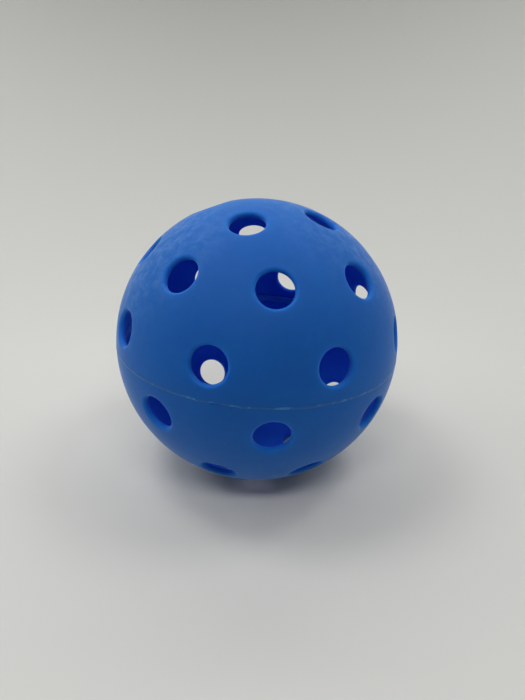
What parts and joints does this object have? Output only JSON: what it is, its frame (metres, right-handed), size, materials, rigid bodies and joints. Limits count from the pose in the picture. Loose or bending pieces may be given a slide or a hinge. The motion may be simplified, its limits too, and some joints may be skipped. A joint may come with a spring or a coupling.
{
  "type": "perforated plastic ball",
  "caption": "Hollow perforated plastic game ball, two identical half shells butt-welded at the equator, with rounded air holes in rings.",
  "frame": {"origin": "centre of the ball", "axes": "+Z along the pole axis, square to the weld plane; +X through the longitude of one low hole and one top hole of the upper half"},
  "size_m": [0.0742, 0.0742, 0.074],
  "materials": {
    "shell": "satin moulded polyethylene, slightly translucent",
    "weld": "satin remelted polyethylene, paler than the shells"
  },
  "bodies": {
    "root": {"upper_shell": "shell", "lower_shell": "shell", "weld_seam": "weld"}
  },
  "joints": []
}
